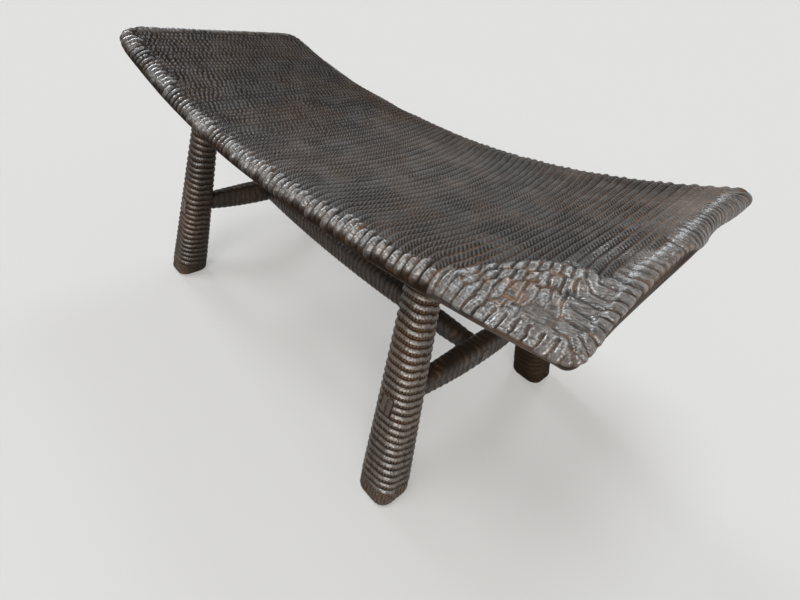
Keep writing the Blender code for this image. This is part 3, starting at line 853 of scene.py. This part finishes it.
def rounded_rectangle(width, depth, radius, count):
    """Evenly spaced points round a rectangle with round corners, from the middle of its +x side."""
    radius = min(radius, width / 2, depth / 2)
    start = np.array([[width / 2, 0.0]])
    dense = [start]
    for corner, (sign_x, sign_y) in enumerate(((1, 1), (-1, 1), (-1, -1), (1, -1))):
        angles = np.radians(np.linspace(90 * corner, 90 * corner + 90, 13))
        dense.append(np.stack([sign_x * (width / 2 - radius) + radius * np.cos(angles),
                               sign_y * (depth / 2 - radius) + radius * np.sin(angles)], -1))
    dense = np.concatenate([*dense, start])
    length = running_total(np.linalg.norm(np.diff(dense, axis=0), axis=1))
    at = np.arange(count) / count * length[-1]
    return np.stack([np.interp(at, length, dense[:, axis]) for axis in range(2)], -1)


def loft_faces(ring_count, around):
    """Quads between rings of points, and fans that close the first and the last ring."""
    index = np.arange(ring_count * around).reshape(ring_count, around)
    quads = grid_faces(np.concatenate([index, index[:, :1]], 1))[:, ::-1]
    fan = np.stack([np.full(around, index.size), np.roll(index[0], -1), index[0]], -1)
    fan_end = np.stack([np.full(around, index.size + 1), index[-1], np.roll(index[-1], -1)], -1)
    return quads, np.concatenate([fan, fan_end])


def lofted_piece(name, rings, marks, tool, material):
    """A closed piece from rings of points, lifted by its carving; the end caps stay as they are."""
    ring_count, around = rings.shape[:2]
    quads, triangles = loft_faces(ring_count, around)
    points = np.concatenate([rings.reshape(-1, 3), rings[[0, -1]].mean(1)])

    def with_caps(values):
        return np.concatenate([values, values[[0, -1]]])

    marks = Marks(*(with_caps(np.broadcast_to(part, (ring_count, around)).ravel()) for part in marks))
    marks.lift[-2:] = 0.0
    return carved_piece(name, points, quads, triangles, marks, with_caps(tool.reshape(-1, 3)), material)


# Legs

def leg_axis(z):
    return tuple(mix(foot, top, z / LEG_HEIGHT) for foot, top in zip(LEG_FOOT, LEG_TOP))


def leg_width(z):
    return mix(LEG_FOOT_WIDTH, LEG_TOP_WIDTH, z / LEG_HEIGHT)


def leg_stations():
    """Heights of a leg's rings: the round foot edge, the flutes, then each gouged ring in even steps."""
    foot = FOOT_EDGE_RADIUS * (1 - np.cos(np.radians(np.arange(0, 90, FOOT_EDGE_STEP))))
    flutes = np.linspace(FOOT_EDGE_RADIUS, FLUTE_TOP, FLUTE_STEPS, endpoint=False)
    count = math.ceil((LEG_HEIGHT - FLUTE_TOP) / RING_PITCH * RING_STEPS) + 3
    return np.concatenate([foot, flutes, FLUTE_TOP + RING_PITCH / RING_STEPS * np.arange(count)])


def leg_rings(end, side, heights):
    """Rings of points up a leg, cut off under the seat, and the distance round each ring."""
    rings, distance = [], []
    for z in heights:
        below = max(FOOT_EDGE_RADIUS - z, 0.0)
        inset = FOOT_EDGE_RADIUS - math.sqrt(FOOT_EDGE_RADIUS**2 - below**2)
        width = leg_width(z) - 2 * inset
        loop = rounded_rectangle(width, width, LEG_CORNER_RADIUS, LEG_AROUND)
        axis_x, axis_y = leg_axis(z)
        x, y = end * axis_x + loop[:, 0], side * axis_y + loop[:, 1]
        low = seat_middle(x, y) - HALF_THICK + SEATED
        rings.append(np.stack([x, y, np.minimum(z, low)], -1))
        distance.append(np.arange(LEG_AROUND) / LEG_AROUND * 4 * width)
    return np.array(rings), np.array(distance)


def leg_marks(end, side, heights, rings, distance):
    """Gouged rings square to the leg, flutes round the foot, and a plain place round the tenon's end."""
    leg, seed = (end, side), 60 + 2 * end + side
    z, turn = np.meshgrid(heights, np.arange(LEG_AROUND) / LEG_AROUND, indexing="ij")
    axis_x, axis_y = leg_axis(z)
    local_x, local_y = rings[..., 0] - end * axis_x, rings[..., 1] - side * axis_y
    lean_x, lean_y = (foot - top for foot, top in zip(LEG_FOOT, LEG_TOP))
    square_z = z - (end * local_x * lean_x + side * local_y * lean_y) / LEG_HEIGHT
    tilt = RING_TILT.get(leg, 0.0) * np.cos(2 * np.pi * (turn - 0.625))
    phase = (square_z - FLUTE_TOP) / RING_PITCH - tilt + 0.16 * bumps(turn * 7, z / 0.05, seed)

    through = phase % 1
    saw = ease(0.0, RING_RISE, through) * (1 - (np.maximum(through - RING_RISE, 0) / (1 - RING_RISE)) ** 2)
    chisel = hump(distance / CHISEL_PITCH + bumps(phase, turn * 30, seed + 1), 0.8)
    crest = ease(0.03, 0.18, through) * ease(0.99, 0.82, through) * mix(0.68, 1.0, chisel)
    edge = ease(0.04, 0.12, through) * ease(0.42, 0.16, through)
    edge *= mix(0.25, 0.9, ease(-0.6, 0.6, bumps(turn * 9, phase * 0.7, seed + 4)))
    ringed = Marks(RING_DEPTH * (saw - 0.60) + CHISEL_DEPTH * (chisel - 1) * saw, crest,
                   mix(0.25, 1.0, ease(0.30, 0.65, through)), edge)

    flute = hump(distance / FLUTE_PITCH + 0.3 * bumps(turn * 20, z / 0.02, seed + 2), 0.7)
    fluted = Marks(FLUTE_DEPTH * (flute - 0.8), flute, 0.4, 0.25 * (1 - flute))
    flute_top = FLUTE_TOP - 0.004 * bumps(turn * 12, np.zeros_like(z), seed + 3)
    foot = 1 - ease(flute_top - 0.003, flute_top + 0.003, z)

    from_tenon = np.maximum(np.abs(local_x) / END_RAIL.tenon_width,
                            np.abs(z - RAIL_HEIGHT) / END_RAIL.tenon_depth) * 2
    from_tenon += 0.2 * bumps(turn * 40, z / 0.006, seed + 5)
    outside = ease(0.2, 0.5, side * local_y / (0.5 * leg_width(z)))
    clear = outside * (1 - ease(0.95, 1.25, from_tenon))
    marks = blended(blended(ringed, fluted, foot), Marks(-0.0004, 0.6, 0.4, 0.1), clear)

    # painted light and shade: each leg is painted brightest at its camera-facing corner, and the legs other
    # than the near front one darker
    from_corner = (turn - LIT_CORNER + 0.5) % 1 - 0.5
    painted_shading = LEG_PAINTED_SHADE.get(leg, BACK_LEG_PAINTED_SHADE) * mix(0.75, 1.0, bell(from_corner, 0.0, 0.11))
    polish = painted_shading * marks.polish
    cuts = 0.8 * (1 - foot) * (1 - ease(0.50, 0.75, polish)) * ease(0.40, 0.75, painted_shading)
    bare = painted_shading * LEG_BARE.get(leg, OTHER_LEG_BARE) * marks.bare
    marks = Marks(ease(0.0, SOLE_EDGE, z) * marks.lift, painted_shading * marks.carve, polish, bare, cuts)
    return marks, np.stack([distance, phase, turn], -1)


def make_leg(end_name, side_name, material):
    name = f"leg_{side_name}_{end_name}"
    end, side = ENDS[end_name], SIDES[side_name]
    heights = leg_stations()
    rings, distance = leg_rings(end, side, heights)
    marks, tool = leg_marks(end, side, heights, rings, distance)
    piece = lofted_piece(name + "_carved", rings, marks, tool, material)
    stand_for(piece, name)


# Stretchers

def tenon_rings(rail, end, half_body, tip_at):
    """Rings of a tenon from its shoulder out to its tip, whose edge is bevelled."""
    rings = []
    for step in range(TENON_STEPS):
        bevel = TENON_BEVEL if step == TENON_STEPS - 1 else 0.0
        short = TENON_BEVEL if step == TENON_STEPS - 2 else 0.0
        loop = rounded_rectangle(rail.tenon_width - 2 * bevel, rail.tenon_depth - 2 * bevel,
                                 TENON_EDGE_RADIUS, RAIL_AROUND)
        reach = mix(half_body, tip_at(loop[:, 1]) - short, step / (TENON_STEPS - 1))
        rings.append(np.column_stack([end * reach, loop]))
    return rings


def body_ring(rail, at, half_body):
    """A ring of a stretcher's body, which swells sideways and downwards to its middle."""
    swell = 1 - (at / half_body) ** 2
    depth = mix(rail.depth, rail.mid_depth, swell)
    thickness = mix(rail.thickness, rail.mid_thickness, swell)
    loop = rounded_rectangle(thickness, depth, rail.edge_radius, RAIL_AROUND)
    loop[:, 1] -= (depth - rail.depth) / 2
    return np.column_stack([np.full(RAIL_AROUND, at), loop])


def make_stretcher(name, rail, axes, middle, half_body, tip_at, seed, material):
    """A boat-shaped rail: straight above, bellied below, ridged across, with a tenon on each end."""
    count = 2 * round(half_body / RIDGE_PITCH * RIDGE_STEPS) + 1
    body = np.linspace(-half_body, half_body, count)
    left, right = (tenon_rings(rail, end, half_body, tip_at) for end in (-1, 1))
    rings = np.array([*left[::-1], *(body_ring(rail, at, half_body) for at in body), *right]) @ axes + middle
    tenon = np.linspace(half_body, half_body + TENON_RUN, TENON_STEPS)
    along = np.concatenate([-tenon[::-1], body, tenon])
    on_body = np.pad(np.ones(count), TENON_STEPS)[:, None]

    run, turn = np.meshgrid(along, np.arange(RAIL_AROUND) / RAIL_AROUND, indexing="ij")
    wander = 0.40 * bumps(run / 0.03, turn * 8, seed) + 0.2 * np.sin(2 * np.pi * turn)
    rise = hump(run / RIDGE_PITCH + wander, 0.75)
    bold = mix(0.7, 1.1, ease(-0.6, 0.6, bumps(run / RIDGE_PITCH, turn * 3, seed + 1)))
    worn = 0.35 * ease(0.75, 1.0, rise) * ease(0.1, 0.7, bumps(run / 0.02, turn * 8, seed + 2))
    # painted shade: the top side, under the seat, is painted darker and kept dull
    above = bell(turn, TOP_TURN, 0.10)
    crest = (0.42 + 0.40 * rise * bold) * (1 - 0.5 * above)
    ridged = Marks(RIDGE_DEPTH * (rise * bold - 0.62), crest, 0.28 * (1 - above), worn)
    marks = blended(Marks(0.0, 1.0, 0.5, 0.22), ridged, on_body)
    tool = np.stack([turn * 0.15, run / RIDGE_PITCH, turn], -1)
    piece = lofted_piece(name + "_carved", rings, marks, tool, material)
    piece.data.set_sharp_from_angle(angle=RAIL_SHARP)
    stand_for(piece, name)


def make_end_stretcher(end_name, material):
    end = ENDS[end_name]
    axis_x, axis_y = leg_axis(RAIL_HEIGHT)
    half_body = axis_y - leg_width(RAIL_HEIGHT) / 2 + END_SHOULDER_SEATED
    middle = (end * axis_x, 0.0, RAIL_HEIGHT)

    def tip_at(above):
        z = RAIL_HEIGHT + above
        return leg_axis(z)[1] + leg_width(z) / 2 + TENON_PROUD

    name = f"end_stretcher_{end_name}"
    make_stretcher(name, END_RAIL, ACROSS_BENCH, middle, half_body, tip_at, 80 + end, material)


def make_long_stretcher(material):
    end_x = leg_axis(RAIL_HEIGHT)[0]
    half_body = end_x - END_RAIL.mid_thickness / 2 + LONG_SHOULDER_SEATED
    middle = (0.0, 0.0, RAIL_HEIGHT - (END_RAIL.mid_depth - END_RAIL.depth) / 2)

    def tip_at(above):
        return np.full_like(above, end_x + END_RAIL.mid_thickness / 2 + TENON_PROUD)

    make_stretcher("long_stretcher", LONG_RAIL, ALONG_BENCH, middle, half_body, tip_at, 90, material)


# Floor, light and camera

def make_floor():
    mesh = bpy.data.meshes.new("studio_floor")
    corners = [(x * FLOOR_REACH, y * FLOOR_REACH, 0.0) for x, y in ((-1, -1), (1, -1), (1, 1), (-1, 1))]
    mesh.from_pydata(corners, [], [(0, 1, 2, 3)])
    floor = new_object("studio_floor", mesh)
    material, n = new_material("pale_floor")
    n.tree.nodes.clear()
    seen = n.add("ShaderNodeBsdfDiffuse", {"Color": FLOOR_COLOUR})[0]
    unseen = n.add("ShaderNodeBsdfDiffuse", {"Color": FLOOR_BOUNCE})[0]
    glow = n.add("ShaderNodeEmission", {"Color": BACKGROUND})[0]
    pale = n.add("ShaderNodeMixShader", {0: GLOW_SHARE, 1: seen, 2: glow})[0]
    surface = n.add("ShaderNodeMixShader", {0: n.seen_rays(), 1: unseen, 2: pale})[0]
    n.add("ShaderNodeOutputMaterial", {"Surface": surface})
    mesh.materials.append(material)


def make_light():
    """A pale horizon under a dim ceiling of sky, and suns wide enough to act as softboxes."""
    world = bpy.data.worlds.new("studio")
    bpy.context.scene.world = world
    world.use_nodes = True
    n = Nodes(world.node_tree)
    direction = n.add("ShaderNodeTexCoord")["Generated"]
    upward = n.add("ShaderNodeSeparateXYZ", {0: direction})["Z"]
    sky = n.ramp(upward, *HORIZON_BAND, 1.0, WORLD_LEVEL, "SMOOTHSTEP")
    share = n.ramp(n.seen_rays(), 0.0, 1.0, AMBIENT_SHARE, 1.0)
    background = n.tree.nodes["Background"].inputs
    n.put(BACKGROUND, background["Color"])
    n.put(n.times(sky, share), background["Strength"])
    for name, (level, degrees, came_from, colour) in SUNS.items():
        lamp = bpy.data.lights.new(name, "SUN")
        lamp.energy = level
        lamp.angle = math.radians(degrees)
        lamp.color = colour
        new_object(name, lamp).rotation_euler = Vector(came_from).to_track_quat("Z", "Y").to_euler()


def make_camera():
    data = bpy.data.cameras.new("photo_camera")
    data.sensor_width = SENSOR_WIDTH
    data.lens = FOCAL_PIXELS * SENSOR_WIDTH / IMAGE_WIDTH
    data.clip_end = CAMERA_CLIP
    camera = new_object("photo_camera", data)
    heading = Matrix.Rotation(CAMERA_AZIMUTH, 4, "Z")
    tilt = Matrix.Rotation(math.pi / 2 - CAMERA_ELEVATION, 4, "X")
    roll = Matrix.Rotation(CAMERA_ROLL, 4, "Z")
    camera.matrix_world = Matrix.Translation(CAMERA_PLACE) @ heading @ tilt @ roll
    bpy.context.scene.camera = camera


seat_teak = carved_teak("seat_stained_teak", SEAT_TEAK)
leg_teak = carved_teak("leg_stained_teak", LEG_TEAK)
stretcher_teak = carved_teak("stretcher_teak_with_painted_shade", SHADED_RAIL_TEAK)
end_grain = wedge_teak()
make_seat(seat_teak)
for end_name in ENDS:
    make_end_stretcher(end_name, stretcher_teak)
    for side_name in SIDES:
        make_leg(end_name, side_name, leg_teak)
make_long_stretcher(stretcher_teak)
for node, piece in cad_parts.items():
    if "wedge" in node:
        piece.data.materials.clear()
        piece.data.materials.append(end_grain)
make_floor()
make_light()
make_camera()
bpy.context.scene.view_settings.view_transform = "Standard"
